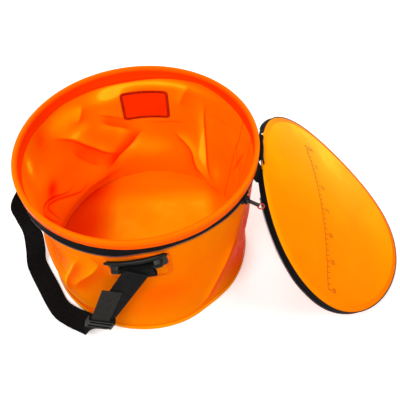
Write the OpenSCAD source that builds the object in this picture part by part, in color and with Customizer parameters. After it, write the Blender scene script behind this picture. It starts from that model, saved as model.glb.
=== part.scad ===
// Collapsible zip-lid bucket of welded PVC sheet, with a webbing carrying strap.
// Millimetres, +Z up. Origin on the floor at the centre of the bottom.
// +X is the lid side, -Y the front bracket side. The lid lies open on the floor.

/* [Bucket] */
// Height of the rim above the floor
bucket_h = 300; // [150:1:450]
// Outside diameter of the wall sheet
wall_d = 402; // [200:1:600]
// Thickness of the wall sheet
wall_t = 1.6; // [0.8:0.1:3]
// Height of the wall's lower edge above the floor
wall_foot = 3; // [1:0.1:10]
// Depth of the sag low in the wall's left side
sag_depth = 20; // [4:1:21]

/* [Rim] */
// Radius of the rolled rim bead
bead_r = 4.2; // [3:0.1:8]
// How far the bead's centre stands outside the wall
bead_over = 1.8; // [0:0.1:6]
// Radius of the spring-steel hoop inside the bead
hoop_r = 2.55; // [1:0.05:5]
// Height of the double sheet inside the rim
inner_flap_h = 27; // [10:1:60]
// Height of the orange flap outside the rim
outer_flap_h = 16; // [8:1:40]
// Thickness of the rim flaps
flap_t = 1.4; // [0.8:0.1:3]

/* [Bottom] */
// Thickness of the bottom sheet
base_t = 2.6; // [1:0.1:6]
// Height of the welded hem round the bottom
hem_h = 10; // [4:0.5:30]
// Thickness of the hem
hem_t = 2.2; // [1:0.1:5]
// How far the bottom can be pushed up towards the rim
fold_travel = 160; // [50:1:220]

/* [Zip] */
// Visible width of the bucket's zip tape under the outer flap
tape_show = 14; // [6:0.5:40]
// How far the zip tape reaches up inside the outer flap
tape_tuck = 6; // [2:0.5:12]
// Thickness of the zip tapes
tape_t = 1.3; // [0.6:0.1:3]
// Width of the zip tape on the lid
lid_tape_w = 12; // [8:0.5:30]
// Thickness of a row of zip teeth
teeth_t = 3; // [1.5:0.1:6]
// Height of a row of zip teeth
teeth_h = 4.4; // [2:0.1:8]
// Length of the zip slider along the tape
slider_l = 13; // [8:0.5:25]
// Height of the zip slider
slider_h = 14; // [8:0.5:25]
// Length of the slider's pull from its pin
pull_l = 21; // [10:0.5:40]
// Height of the slider's pull
pull_h = 8; // [3:0.5:12]
// Angle at which the slider is parked
slider_park = -34; // [-60:1:-20]

/* [Lid] */
// How far the lid's edge lies inside the rim's outer edge
lid_inset = 7; // [3:0.5:20]
// Thickness of the lid sheet
lid_t = 1.6; // [0.8:0.1:4]
// Width of the double band round the lid
lid_band_w = 11; // [5:0.5:30]
// Thickness of the band round the lid
lid_band_t = 4.2; // [3:0.1:8]
// Half the width of the flat hoop inside the lid's band
lid_hoop_r = 1.5; // [0.8:0.05:3]
// How far the lid's two sides droop below its middle
lid_droop = 26; // [5:1:60]
// Turn of the lid side about the bucket's axis
lid_turn = -6.3; // [-45:0.1:45]
// Space between the open lid's near edge and the fabric fold on the rim
lid_edge_gap = 0.4; // [0.2:0.1:4]
// Depth of the fold line below the rim
fold_line_drop = 9; // [0:0.1:20]
// Length of the fabric fold along the rim
fold_w = 56; // [20:1:120]

/* [Strap] */
// Width of the webbing
strap_w = 40; // [20:0.5:60]
// Thickness of the webbing
strap_t = 2; // [1:0.1:4]
// Depth below the rim of the line that the strap swings about
strap_axis_drop = 62; // [45:1:120]

/* [Brackets] */
// Width of the strap brackets
bracket_w = 100; // [50:1:150]
// Height of a bracket's top bar
bracket_bar_h = 8; // [5:0.5:12]
// Depth of a bracket's top bar
bracket_bar_deep = 8.2; // [4:0.1:15]
// Height of a bracket
bracket_h = 34; // [20:0.5:60]
// Lean of the front bracket
bracket_lean = 10; // [-20:1:20]
// Diameter of the bracket pins
pin_d = 6; // [3:0.1:12]
// Width of the reinforcing patches
patch_w = 102; // [50:1:160]
// Height of the inner patches
patch_h = 68; // [30:1:120]

/* [Hidden] */
$fn = 96;

orange = [1, 0.5, 0.05];
deep_orange = [1, 0.3, 0.05];
black = [0.06, 0.06, 0.07];
dark_grey = [0.2, 0.2, 0.21];
steel = [0.7, 0.7, 0.72];
red = [0.75, 0.08, 0.08];

// Clearances, and one overrun for all cuts
seat_gap = 0.05;
sheet_gap = 0.15;
run_gap = 0.3;
overrun = 5;
full_turn = 360;

// Bucket
wall_r = wall_d / 2;
wall_in = wall_r - wall_t;
bead_c = wall_r + bead_over;
rim_r = bead_c + bead_r;
bead_z = bucket_h - bead_r;
inner_flap_r = wall_in - sheet_gap;
flap_set_in = 0.2;
outer_flap_in = rim_r - flap_t - flap_set_in;
wall_head_gap = 0.1;
wall_top = bead_z - bead_r - wall_head_gap;
sag_r = 60;
sag_angle = 147;
sag_z = 62;
bottom_over = 0.3;
hem_gap = 0.35;

// Zip
tape_low = bucket_h - outer_flap_h - tape_show;
tape_top = bucket_h - outer_flap_h + tape_tuck;
tape_out = outer_flap_in - sheet_gap;
tape_in = tape_out - tape_t;
tape_mid = (tape_out + tape_in) / 2;
teeth_over = 1.2;
teeth_z = tape_low - teeth_h + teeth_over;
slider_mid_z = teeth_z + teeth_h / 2;
slider_gap = 0.4;
slider_wall = 1.4;
slider_in = wall_r + slider_gap;
slider_out = tape_mid + teeth_t / 2 + run_gap + slider_wall;
stop_l = 4;
stop_wrap = 1.1;
stop_angle = 2 * asin(stop_l / 2 / tape_mid);
stop_gap_angle = 2;
near_stop_angle = slider_park + 4;
far_stop_angle = -342;
pull_pin_r = 1.6;
pull_pin_gap = 2.2;
pull_pin_out = slider_out + pull_pin_r + pull_pin_gap;
pull_eye_r = 3.4;
pull_hole_r = pull_pin_r + seat_gap;
pull_arm_w = 4;
pull_arm_h = 5;
pull_ring_r = 5.2;
pull_ring_t = 1.1;
pull_ring_hole = pull_ring_t + run_gap;
pull_ring_end = 2.5;
lug_h = (slider_h - pull_h - run_gap * 2) / 2;
lug_over = 0.2;

// Lid, in a frame on the fold line: x away from it, z out of the lid's inner face
lid_seat_gap = 1;
fold_t = 0.6;
fold_gap = 0.05;
fold_stop = 4;
tab_clear = fold_gap + fold_t + run_gap;
lean_guess = asin(min(1, bucket_h / rim_r / 2));
lid_low = fold_line_drop + lid_seat_gap + lid_band_t;
fold_line_out = (tab_clear + lid_edge_gap + lid_low * sin(lean_guess)
    - lid_inset * cos(lean_guess)) / (1 + cos(lean_guess));
fold_line_r = rim_r + fold_line_out;
lid_r = rim_r - lid_inset;
lid_c = fold_line_r;
lid_face = -fold_line_drop - lid_seat_gap;
lid_hoop_c = lid_r - lid_band_w / 2;
lid_tape_from = 22;
lid_teeth_from = 23;
lid_bend_r = (lid_r * lid_r / lid_droop + lid_droop) / 2;
lid_under = lid_droop + lid_tape_w + teeth_h * 3;
tab_deep = lid_face - tape_t;
// The lean of the open lid, whose teeth just clear the floor
floor_gap = 0.3;
lid_far = lid_c + lid_r + sheet_gap + (tape_t + teeth_t) / 2;
lid_deep = lid_tape_w + teeth_h - teeth_over - lid_face;
lid_lean = asin(min(1, (bucket_h - fold_line_drop - floor_gap) / norm([lid_far, lid_deep])))
    - atan2(lid_deep, lid_far);
tab_near = (tab_clear - fold_line_out - tab_deep * sin(lid_lean)) / cos(lid_lean);

// Patches and brackets
patch_t = 1.1;
patch_angle = 2 * asin(patch_w / 2 / wall_r);
patch_drop = 14;
outer_patch_h = 66;
outer_patch_top = tape_low - patch_drop;
outer_patch_low = outer_patch_top - outer_patch_h;
inner_patch_drop = 31;
inner_patch_low = bucket_h - inner_flap_h - inner_patch_drop - patch_h;
bracket_gap = 0.35;
bracket_in = wall_r + sheet_gap + patch_t + bracket_gap;
bracket_bar_out = bracket_in + bracket_bar_deep;
plate_t = 2.2;
bar_over_pin = 14;
bracket_top = bucket_h - strap_axis_drop + bar_over_pin;
bracket_angle = 2 * asin(bracket_w / 2 / bracket_in);
cheek_w = 12;
cheek_angle = 2 * asin(cheek_w / 2 / bracket_in);
pin_r = pin_d / 2;
pin_deep = 9.4;
pin_out = bracket_in + pin_deep;
pin_inset = 6;
loop_gap = 0.1;
loop_w = 50;
loop_l = 40;
strap_run = 0.9;
strap_clear = 0.5;
strap_out = pin_out + pin_r + loop_gap + strap_t + strap_run + strap_t / 2;
strap_axis_h = bucket_h - strap_axis_drop;
bracket_out = strap_out - strap_clear;

// Strap route from the back bracket round the left side to the front bracket, as shares
// of the distance of its flat ends from the axis and of the height of its swing line
strap_route_shares = [
    [0, 1, 1], [-0.137, 1, 0.962], [-0.311, 0.986, 0.912], [-0.511, 0.941, 0.853],
    [-0.694, 0.822, 0.79], [-0.868, 0.612, 0.723], [-1.014, 0.402, 0.651],
    [-1.123, 0.201, 0.576], [-1.169, 0.055, 0.496], [-1.128, -0.037, 0.412],
    [-1.096, -0.091, 0.311], [-1.11, -0.155, 0.16], [-1.132, -0.205, 0.042],
    [-1.1, -0.283, 0.013], [-0.986, -0.475, 0.011], [-0.849, -0.694, 0.013],
    [-0.731, -0.795, 0.029], [-0.612, -0.868, 0.059], [-0.525, -0.927, 0.101],
    [-0.489, -0.973, 0.147], [-0.457, -1, 0.202], [-0.409, -1, 0.286], [-0.228, -1, 0.601],
    [0, -1, 1]];
strap_route = [for (p = strap_route_shares)
    [p[0] * strap_out, p[1] * strap_out, p[2] * strap_axis_h]];
// Direction across the webbing at each point of the route
strap_across_shares = [[-0.29, 0, 0.957], [-0.29, 0, 0.957], [-0.2, -0.12, 0.97],
    [-0.18, -0.14, 0.97], [-0.15, -0.16, 0.97], [-0.1, -0.22, 0.97],
    [-0.1, -0.3, 0.95], [-0.25, -0.35, 0.9], [-0.75, -0.2, 0.63],
    [-0.93, 0.2, 0.3], [-0.9, 0.43, 0], [-0.96, 0.22, -0.12],
    [-0.97, -0.15, -0.1], [-0.93, -0.37, 0], [-0.87, -0.5, 0],
    [-0.6, -0.8, 0], [-0.45, -0.89, -0.05], [-0.4, -0.9, -0.15],
    [-0.5, -0.84, -0.1], [-0.75, -0.6, 0.25], [-0.885, -0.02, 0.466],
    [-0.885, 0, 0.466], [-0.885, 0, 0.466], [-0.885, 0, 0.466]];
leg_foot = strap_route[len(strap_route) - 4];
leg_run = strap_route[len(strap_route) - 1] - leg_foot;
leg_lean = atan2(leg_run[0], leg_run[2]);
adjuster_up = 28;
adjuster_at = leg_foot + leg_run / norm(leg_run) * adjuster_up;
adjuster_w = 48;
adjuster_l = 26;
adjuster_t = 2.4;
adjuster_slack = 0.8;
tail_w = 32;
tail_l = 112;
tail_lean = 7;
tail_shift = 3;
tail_seat = 4;

function unit(v) = v / norm(v);
function along(i, p) = unit(p[min(i + 1, len(p) - 1)] - p[max(i - 1, 0)]);
function ribbon_corners(i, p, a, w, t) = let (
        u = unit(a[i]), n = unit(cross(along(i, p), u)))
    [p[i] - u * w / 2 - n * t / 2, p[i] + u * w / 2 - n * t / 2,
     p[i] + u * w / 2 + n * t / 2, p[i] - u * w / 2 + n * t / 2];

// A flat band through points p, lying across the directions a
module ribbon(p, a, w, t) {
    count = len(p);
    points = [for (i = [0:count - 1]) each ribbon_corners(i, p, a, w, t)];
    sides = [for (i = [0:count - 2]) for (k = [0:3]) let (m = (k + 1) % 4)
        each [[4 * i + k, 4 * i + 4 + m, 4 * i + m], [4 * i + k, 4 * i + 4 + k, 4 * i + 4 + m]]];
    last = 4 * (count - 1);
    ends = [[0, 1, 2], [0, 2, 3], [last + 2, last + 1, last], [last + 3, last + 2, last]];
    polyhedron(points, concat(sides, ends), convexity = 10);
}

// A ring with a square section between two radii and two heights
module ring(inner, outer, low, high) {
    rotate_extrude() translate([inner, low]) square([outer - inner, high - low]);
}

// The same ring over part of a turn, centred on the direction of +X
module arc(inner, outer, low, high, angle) {
    rotate([0, 0, -angle / 2]) rotate_extrude(angle = angle)
        translate([inner, low]) square([outer - inner, high - low]);
}

// Rim and wall
module rim_sleeve() {
    color(deep_orange) rotate_extrude($fn = 180) difference() {
        union() {
            translate([bead_c, bead_z]) circle(bead_r, $fn = 48);
            translate([inner_flap_r - flap_t, bucket_h - inner_flap_h])
                square([flap_t, inner_flap_h - bead_r]);
            translate([inner_flap_r - flap_t, bead_z - flap_t / 2])
                square([bead_c - inner_flap_r, flap_t]);
            translate([outer_flap_in, bucket_h - outer_flap_h])
                square([flap_t, outer_flap_h - bead_r]);
        }
        translate([bead_c, bead_z]) circle(hoop_r + seat_gap, $fn = 48);
    }
}

module rim_hoop() {
    color(steel) rotate_extrude($fn = 180) translate([bead_c, bead_z])
        circle(hoop_r, $fn = 48);
}

module wall() {
    color(orange) union() {
        difference() {
            ring(wall_in, wall_r, wall_foot, wall_top);
            sag_ball(sag_r);
        }
        intersection() {
            difference() {
                sag_ball(sag_r + wall_t);
                sag_ball(sag_r);
            }
            cylinder(r = wall_r, h = wall_top);
        }
    }
}

// A ball outside the left wall, which the sagging sheet lies against
module sag_ball(r) {
    rotate([0, 0, sag_angle]) translate([wall_r + sag_r - sag_depth, 0, sag_z])
        sphere(r);
}

// Reinforcing patches behind the brackets, on the outside and the inside
module outer_patch() {
    color(deep_orange) rotate([0, 0, -90])
        arc(wall_r + sheet_gap, wall_r + sheet_gap + patch_t, outer_patch_low,
            outer_patch_top, patch_angle);
}

module inner_patch() {
    color(deep_orange) rotate([0, 0, -90])
        arc(wall_in - sheet_gap - patch_t, wall_in - sheet_gap, inner_patch_low,
            inner_patch_low + patch_h, patch_angle);
}

module front_outer_patch() {
    outer_patch();
}

module back_outer_patch() {
    rotate([0, 0, 180]) outer_patch();
}

module front_inner_patch() {
    inner_patch();
}

module back_inner_patch() {
    rotate([0, 0, 180]) inner_patch();
}

// Zip of the bucket
module bucket_zip_tape() {
    color(black) ring(tape_in, tape_out, tape_low, tape_top);
}

module bucket_zip_teeth() {
    color(black) rotate([0, 0, near_stop_angle - stop_gap_angle]) mirror([0, 1, 0])
        rotate_extrude(angle = near_stop_angle - far_stop_angle - stop_gap_angle * 2)
            difference() {
                translate([tape_mid - teeth_t / 2, teeth_z]) square([teeth_t, teeth_h]);
                translate([tape_in - seat_gap, tape_low - seat_gap])
                    square([tape_t + seat_gap * 2, teeth_h]);
            }
}

module zip_stop(angle) {
    color(dark_grey) rotate([0, 0, angle]) difference() {
        arc(tape_in - stop_wrap, tape_out + stop_wrap, teeth_z, teeth_z + teeth_h,
            stop_angle);
        ring(tape_in - seat_gap, tape_out + seat_gap, tape_low - seat_gap,
            teeth_z + teeth_h + overrun);
    }
}

module near_zip_stop() {
    zip_stop(near_stop_angle);
}

module far_zip_stop() {
    zip_stop(far_stop_angle);
}

// Fabric fold between bucket and lid, the bucket's half
module hinge_tape() {
    color(black) rotate([0, 0, lid_turn])
        arc(rim_r + fold_gap, rim_r + fold_gap + fold_t, tape_low,
            bucket_h - fold_line_drop - fold_stop, 2 * asin(fold_w / 2 / rim_r));
}

// Plastic brackets with a cross pin, seen from the front
module bracket_body() {
    color(dark_grey) difference() {
        rotate([0, 0, -90]) union() {
            arc(bracket_in, bracket_bar_out, bracket_top - bracket_bar_h, bracket_top,
                bracket_angle);
            arc(bracket_in, bracket_in + plate_t, bracket_top - bracket_h, bracket_top,
                bracket_angle);
            for (side = [-1, 1]) rotate([0, 0, side * (bracket_angle - cheek_angle) / 2])
                arc(bracket_in, bracket_out, bracket_top - bracket_h, bracket_top,
                    cheek_angle);
        }
        pin_hole();
    }
}

module pin_hole() {
    translate([0, -pin_out, strap_axis_h]) rotate([0, 90, 0])
        cylinder(r = pin_r + seat_gap, h = bracket_w + overrun * 2, center = true);
}

module pin_body() {
    color(steel) translate([0, -pin_out, strap_axis_h]) rotate([0, 90, 0])
        cylinder(r = pin_r, h = bracket_w - pin_inset, center = true);
}

// Webbing wrapped round the pin
module stadium(r, l) {
    circle(r);
    translate([-r, -l]) square([r * 2, l]);
    translate([0, -l]) circle(r);
}

module loop_body() {
    color(black) translate([-loop_w / 2, -pin_out, strap_axis_h]) rotate([90, 0, 90])
        linear_extrude(loop_w) difference() {
            stadium(pin_r + loop_gap + strap_t, loop_l / 2);
            stadium(pin_r + loop_gap, loop_l / 2);
        }
}

module lean_front() {
    translate([0, 0, strap_axis_h]) rotate([0, -bracket_lean, 0])
        translate([0, 0, -strap_axis_h]) children();
}

module front_bracket() {
    lean_front() bracket_body();
}

module back_bracket() {
    rotate([0, 0, 180]) bracket_body();
}

module front_pin() {
    lean_front() pin_body();
}

module back_pin() {
    rotate([0, 0, 180]) pin_body();
}

module front_loop() {
    lean_front() loop_body();
}

module back_loop() {
    rotate([0, 0, 180]) loop_body();
}

// Bottom, pushed up to fold the bucket flat
module bottom_sheet() {
    color(orange) cylinder(r = wall_r + bottom_over, h = base_t, $fn = 180);
}

module bottom_hem() {
    color(deep_orange) ring(wall_r + hem_gap, wall_r + hem_gap + hem_t, 0, hem_h);
}

// Lid, hanging open from the fold line
module on_lid() {
    rotate([0, 0, lid_turn]) translate([fold_line_r, 0, bucket_h - fold_line_drop])
        rotate([0, lid_lean, 0]) children();
}

// The bent sheet between two depths below the lid's face; its sides droop
module bent_layer(shallow, deep) {
    translate([0, 0, -lid_bend_r]) rotate([0, 90, 0]) difference() {
        cylinder(r = lid_bend_r - shallow, h = lid_r * 3, center = true, $fn = 360);
        cylinder(r = lid_bend_r - deep, h = lid_r * 4, center = true, $fn = 360);
    }
}

// A ring about the lid's middle, or part of one, within that layer
module bent_arc(inner, outer, shallow, deep, angle = full_turn) {
    on_lid() translate([lid_c, 0, lid_face]) intersection() {
        arc(inner, outer, -lid_under, overrun, angle);
        bent_layer(shallow, deep);
    }
}

module lid_sheet() {
    color(orange) on_lid() translate([lid_c, 0, lid_face]) intersection() {
        translate([0, 0, -lid_under])
            cylinder(r = lid_r - lid_band_w - sheet_gap, h = lid_under * 2, $fn = 180);
        bent_layer(0, lid_t);
    }
}

module lid_band() {
    color(deep_orange) difference() {
        bent_arc(lid_r - lid_band_w, lid_r, 0, lid_band_t);
        hoop_ring(seat_gap);
    }
}

module hoop_ring(gap) {
    bent_arc(lid_hoop_c - lid_hoop_r - gap, lid_hoop_c + lid_hoop_r + gap,
        lid_band_t / 2 - lid_hoop_r - gap, lid_band_t / 2 + lid_hoop_r + gap);
}

module lid_hoop() {
    color(steel) hoop_ring(0);
}

module lid_zip_tape() {
    color(black) bent_arc(lid_r + sheet_gap, lid_r + sheet_gap + tape_t, 0, lid_tape_w,
        full_turn - lid_tape_from * 2);
}

module lid_zip_teeth() {
    color(black) difference() {
        bent_arc(lid_r + sheet_gap + tape_t / 2 - teeth_t / 2,
            lid_r + sheet_gap + tape_t / 2 + teeth_t / 2, lid_tape_w - teeth_over,
            lid_tape_w - teeth_over + teeth_h, full_turn - lid_teeth_from * 2);
        bent_arc(lid_r, lid_r + sheet_gap + seat_gap + tape_t, -seat_gap,
            lid_tape_w + seat_gap);
    }
}

module lid_hinge_tab() {
    color(black) on_lid() difference() {
        translate([tab_near, -fold_w / 2, tab_deep])
            cube([lid_c - lid_r + overrun - tab_near, fold_w, tape_t]);
        translate([lid_c, 0, tab_deep - overrun])
            cylinder(r = lid_r + seat_gap, h = tape_t + overrun * 2, $fn = 180);
    }
}

// Zip slider and its pull
module at_slider() {
    rotate([0, 0, slider_park]) translate([0, 0, slider_mid_z]) children();
}

module zip_slider() {
    color(black) at_slider() difference() {
        union() {
            translate([slider_in, -slider_l / 2, -slider_h / 2])
                cube([slider_out - slider_in, slider_l, slider_h]);
            for (side = [-1, 1])
                translate([slider_out - lug_over, -pull_eye_r,
                    side * (slider_h - lug_h) / 2 - lug_h / 2])
                    cube([pull_pin_out - slider_out + pull_pin_r + lug_over * 2,
                        pull_eye_r * 2, lug_h]);
            translate([pull_pin_out, 0, 0])
                cylinder(r = pull_pin_r, h = slider_h - lug_h, center = true);
        }
        ring(tape_mid - teeth_t / 2 - run_gap, tape_mid + teeth_t / 2 + run_gap,
            -teeth_h / 2 - run_gap, teeth_h / 2 + run_gap);
        ring(tape_in - run_gap, tape_out + run_gap, -run_gap, slider_h);
    }
}

module zip_pull() {
    color(dark_grey) at_slider() translate([pull_pin_out, 0, 0]) difference() {
        union() {
            cylinder(r = pull_eye_r, h = pull_h, center = true);
            translate([0, -pull_arm_w / 2, -pull_arm_h / 2])
                cube([pull_l, pull_arm_w, pull_arm_h]);
        }
        cylinder(r = pull_hole_r, h = slider_h, center = true);
        translate([pull_l - pull_ring_end, 0, 0]) rotate([90, 0, 0])
            cylinder(r = pull_ring_hole, h = slider_h, center = true);
    }
}

module pull_loop() {
    color(red) at_slider()
        translate([pull_pin_out + pull_l - pull_ring_end + pull_ring_r, 0, 0])
            rotate_extrude() translate([pull_ring_r, 0]) circle(pull_ring_t, $fn = 32);
}

// Carrying strap with a sliding adjuster on its front leg
module strap_webbing() {
    color(black) union() {
        ribbon(strap_route, strap_across_shares, strap_w, strap_t);
        for (side = [-1, 1]) translate([0, side * strap_out, strap_axis_h])
            rotate([90, 0, 0]) cylinder(r = strap_w / 2, h = strap_t, center = true);
    }
}

module on_leg() {
    translate(adjuster_at) rotate([0, leg_lean, 0]) children();
}

module adjuster() {
    color(dark_grey) on_leg() difference() {
        translate([-adjuster_w / 2, -adjuster_t - strap_t * 2, -adjuster_l / 2])
            cube([adjuster_w, adjuster_t * 2 + strap_t * 3, adjuster_l]);
        translate([-strap_w / 2 - adjuster_slack, -strap_t / 2 - run_gap, -adjuster_l])
            cube([strap_w + adjuster_slack * 2, strap_t + run_gap * 2, adjuster_l * 2]);
        for (side = [-1, 1])
            translate([-strap_w / 2, -adjuster_l * 2, side * adjuster_l / 4 - adjuster_l / 8])
                cube([strap_w, adjuster_l * 2, adjuster_l / 4]);
        tail_block(seat_gap);
    }
}

module tail_block(gap) {
    translate([-tail_shift, -strap_t - run_gap, adjuster_l / 2 - tail_seat])
        rotate([0, -tail_lean, 0]) translate([-tail_w / 2 - gap, -strap_t / 2 - gap, -gap])
            cube([tail_w + gap * 2, strap_t + gap * 2, tail_l]);
}

module strap_tail() {
    color(black) on_leg() tail_block(0);
}

rim_sleeve();
rim_hoop();
wall();
bucket_zip_tape();
bucket_zip_teeth();
near_zip_stop();
far_zip_stop();
hinge_tape();
front_bracket();
back_bracket();
front_pin();
back_pin();
front_loop();
back_loop();
front_outer_patch();
back_outer_patch();
front_inner_patch();
back_inner_patch();
bottom_sheet();
bottom_hem();
lid_sheet();
lid_band();
lid_hoop();
lid_zip_tape();
lid_zip_teeth();
lid_hinge_tab();
zip_slider();
zip_pull();
pull_loop();
strap_webbing();
adjuster();
strap_tail();
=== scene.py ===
import math
import bpy
import bmesh
import numpy as np
from mathutils import Matrix, Vector, noise


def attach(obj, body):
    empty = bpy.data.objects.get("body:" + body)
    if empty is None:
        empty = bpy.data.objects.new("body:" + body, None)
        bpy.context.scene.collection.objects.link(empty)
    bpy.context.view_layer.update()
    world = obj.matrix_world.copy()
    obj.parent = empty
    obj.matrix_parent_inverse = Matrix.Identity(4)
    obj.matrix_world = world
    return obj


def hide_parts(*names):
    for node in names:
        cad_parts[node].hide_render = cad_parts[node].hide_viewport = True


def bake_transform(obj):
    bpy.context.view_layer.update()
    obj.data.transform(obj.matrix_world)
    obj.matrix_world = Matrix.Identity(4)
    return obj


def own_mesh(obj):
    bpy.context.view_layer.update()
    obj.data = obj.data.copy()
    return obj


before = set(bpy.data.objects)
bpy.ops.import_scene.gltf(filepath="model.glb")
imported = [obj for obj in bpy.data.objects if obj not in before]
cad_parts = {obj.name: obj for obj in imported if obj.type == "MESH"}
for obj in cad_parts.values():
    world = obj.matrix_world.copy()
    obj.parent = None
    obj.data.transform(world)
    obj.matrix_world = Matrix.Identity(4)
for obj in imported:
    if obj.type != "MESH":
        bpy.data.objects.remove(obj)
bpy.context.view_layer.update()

MM = 0.001
TAU = math.tau

# Sizes that several pieces share, in mm and degrees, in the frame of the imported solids
CENTRE = 0.02  # a disc starts this close to its middle
WALL_R = 200.2  # middle of the wall sheet
ROUND_R = 200  # where lengths round the bucket are measured
ARC = TAU * ROUND_R / 360  # length of one degree there
WALL_TOP = 291.5  # the wall's edge, inside the rim's sleeve
BOTTOM_R = 200.6  # edge of the bottom sheet
FOLD_AZ = -6.3  # where the lid's cloth fold sits on the rim
FOLD_R, FOLD_Z = 211.035, 291.0  # the lid's fold line
TAPE_R, TAPE_Z = 204.6, 269  # the bucket's zip tape and the row of teeth at its lower edge
LID_R = 200.85  # the lid's edge, to which its zip tape is sewn
LID_PANEL_R = 190.5  # edge of the lid sheet, under the band
PIN_R, PIN_Z = 212, 238  # the brackets' cross pins
BRACKETS = (("front", 0, 10), ("back", 180, 0))  # turn about the bucket, lean outwards


# Camera in metres, found from the rim, the bottom and the lid in the photograph
LENS, SENSOR = 41.876, 36
CAMERA_AT = (0.095, -0.5678, 0.8485)
CAMERA_RIGHT = (0.99831, -0.05024, -0.02933)
CAMERA_UP = (0.05762, 0.78462, 0.61729)
CAMERA_BACK = (-0.008, -0.61793, 0.78619)


def add_object(name, data):
    """Puts data into the scene as an object."""
    obj = bpy.data.objects.new(name, data)
    bpy.context.scene.collection.objects.link(obj)
    return obj


def find_node(tree, kind):
    return next(n for n in tree.nodes if n.type == kind)


def make_camera():
    data = bpy.data.cameras.new("camera")
    data.sensor_width = SENSOR
    data.lens = LENS
    data.clip_start = 0.05
    data.clip_end = 50
    cam = add_object("camera", data)
    axes = Matrix((CAMERA_RIGHT, CAMERA_UP, CAMERA_BACK)).transposed()
    cam.matrix_world = Matrix.Translation(CAMERA_AT) @ axes.to_4x4()
    bpy.context.scene.camera = cam


# Materials
class Shader:
    """A node material with one Principled shader, built up by small calls."""

    def __init__(self, name, rough=0.5, **inputs):
        self.mat = bpy.data.materials.new(name)
        self.mat.use_nodes = True
        self.tree = self.mat.node_tree
        self.bsdf = find_node(self.tree, "BSDF_PRINCIPLED")
        self.bsdf.inputs["Roughness"].default_value = rough
        for key, value in inputs.items():
            self.bsdf.inputs[key.replace("_", " ")].default_value = value
        self.coord = self.tree.nodes.new("ShaderNodeTexCoord")
        self.height = None

    def node(self, kind, **values):
        made = self.tree.nodes.new("ShaderNode" + kind)
        for key, value in values.items():
            if key in made.inputs:
                made.inputs[key].default_value = value
            else:
                setattr(made, key, value)
        return made

    def link(self, source, target):
        self.tree.links.new(source, target)

    def space(self, kind="Object", scale=(1, 1, 1)):
        mapping = self.node("Mapping", Scale=scale)
        self.link(self.coord.outputs[kind], mapping.inputs["Vector"])
        return mapping.outputs["Vector"]

    def noise(self, scale, detail=3.0, rough=0.55, vector=None):
        made = self.node("TexNoise", Scale=scale, Detail=detail, Roughness=rough)
        self.link(vector or self.space(), made.inputs["Vector"])
        return made.outputs["Fac"]

    def wave(self, scale, vector, axis):
        made = self.node("TexWave", Scale=scale, Distortion=0.0)
        made.bands_direction = axis
        self.link(vector, made.inputs["Vector"])
        return made.outputs["Fac"]

    def ramp(self, fac, stops):
        made = self.node("ValToRGB")
        points = made.color_ramp.elements
        while len(points) < len(stops):
            points.new(0.5)
        for point, (at, value) in zip(points, stops):
            point.position = at
            point.color = (*value, 1) if hasattr(value, "__len__") else (value, value, value, 1)
        self.link(fac, made.inputs["Fac"])
        return made.outputs["Color"]

    def maths(self, operation, *values):
        made = self.node("Math", operation=operation)
        for slot, value in zip(made.inputs, values):
            if isinstance(value, float):
                slot.default_value = value
            else:
                self.link(value, slot)
        return made.outputs[0]

    def tone(self):
        """The tone that a piece's points carry, which holds their painted light and shade as well as
        their colour.
        """
        return self.node("Attribute", attribute_name="tone").outputs["Fac"]

    def colour(self, fac, stops):
        self.link(self.ramp(fac, stops), self.bsdf.inputs["Base Color"])

    def roughness(self, fac, low, high):
        self.link(self.ramp(fac, between(low, high)), self.bsdf.inputs["Roughness"])

    def bump(self, fac, distance, strength=1.0):
        made = self.node("Bump", Strength=strength, Distance=distance)
        self.link(fac, made.inputs["Height"])
        if self.height is not None:
            self.link(self.height, made.inputs["Normal"])
        self.height = made.outputs["Normal"]
        self.link(self.height, self.bsdf.inputs["Normal"])


def between(low, high):
    """Stops of a ramp over the middle of a noise's range, where most of it lies."""
    return [(0.3, low), (0.7, high)]


# Colours of the PVC sheet from its reddest to its yellowest; a piece's tone picks among them, and
# where it varies it mostly paints light and shade: redder where shade falls, yellower where light
# falls
PVC_TONES = [(0.0, (0.8, 0.01, 0.0)), (0.25, (1.0, 0.05, 0.0)), (0.5, (1.0, 0.13, 0.0)),
             (0.75, (1.0, 0.26, 0.0)), (0.9, (1.0, 0.42, 0.001)), (1.0, (1.0, 0.8, 0.02))]


CLOUDY, GRAIN = 0.16, 0.00004


def pvc(name, rough=(0.2, 0.3), level=0.0008, crease=0.0004):
    """Soft PVC sheet: the tone of each place, which carries its painted light and shade, a little
    cloudy, fine grain, handling creases.
    """
    s = Shader(name, Specular_IOR_Level=level)
    clouds = s.maths("SUBTRACT", s.noise(9, 3), 0.5)
    s.colour(s.maths("MULTIPLY_ADD", clouds, CLOUDY, s.tone()), PVC_TONES)
    s.roughness(s.noise(40, 4), *rough)
    s.bump(s.noise(26, 5, 0.6), crease, 0.5)
    s.bump(s.noise(2600, 2), GRAIN, 0.5)
    return s.mat


def printed(name, low, high):
    """Ink printed on the lid, slightly uneven."""
    s = Shader(name, Specular_IOR_Level=0.03)
    s.colour(s.noise(300, 3), between(low, high))
    s.roughness(s.noise(60, 3), 0.3, 0.42)
    s.bump(s.noise(1800, 2), 0.00003, 0.4)
    return s.mat


def cloth(name, low, high, pitch=0.0011, depth=0.00018, sheen=0.008, toned=False):
    """Woven tape, webbing or thread; the weave follows the piece's own length."""
    s = Shader(name, Sheen_Weight=sheen, Sheen_Roughness=0.45, Specular_IOR_Level=0.04)
    weave = s.maths("MULTIPLY", *(s.wave(0.5 / pitch, s.space("UV"), axis) for axis in "XY"))
    # With toned, the tone paints the colour: on the ribbed tail, painted light on the rib crests and
    # painted shade between them
    s.colour(s.tone() if toned else s.noise(220, 4), between(low, high))
    s.roughness(s.noise(60, 3), 0.62, 0.82)
    s.bump(weave, depth, 0.8)
    s.bump(s.noise(900, 3), depth / 3, 0.5)
    return s.mat


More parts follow.
